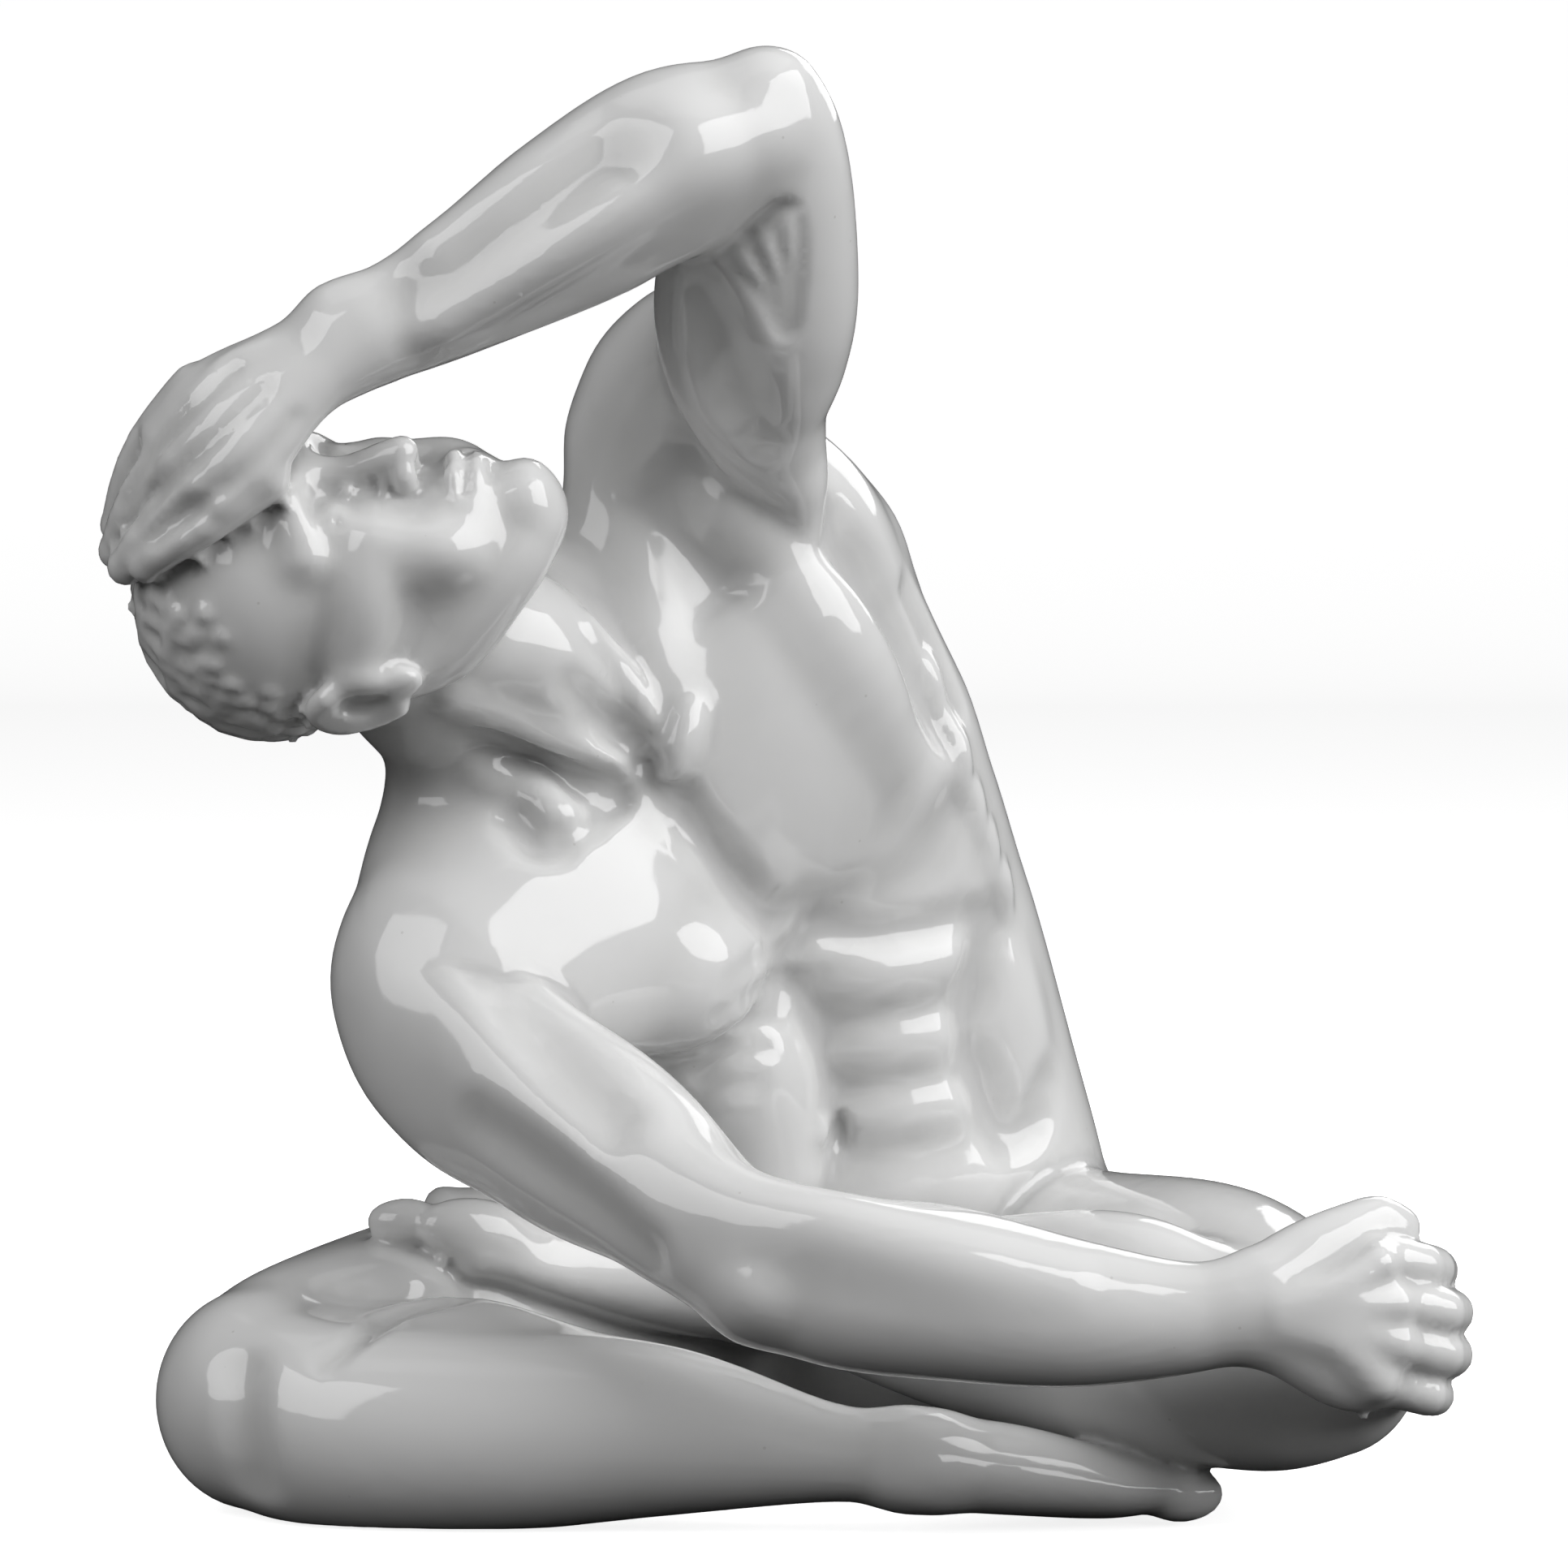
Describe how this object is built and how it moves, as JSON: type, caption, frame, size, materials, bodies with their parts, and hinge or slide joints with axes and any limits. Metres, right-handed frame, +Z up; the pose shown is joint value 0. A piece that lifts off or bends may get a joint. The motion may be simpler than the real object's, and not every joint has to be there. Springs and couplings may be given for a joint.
{
  "type": "seated nude figurine",
  "caption": "Nude man seated cross-legged, leaning to one side with a hand drawing the head back; a table figure in glazed white porcelain.",
  "frame": {"origin": "centre of the bounding box at the level of the surface that the figure sits on", "axes": "+Z up, -Y towards the side the figure faces (the side pictured), +X towards its left knee"},
  "size_m": [0.2769, 0.2421, 0.3001],
  "materials": {
    "porcelain": "gloss"
  },
  "bodies": {
    "root": {"figurine": "porcelain"}
  },
  "joints": []
}
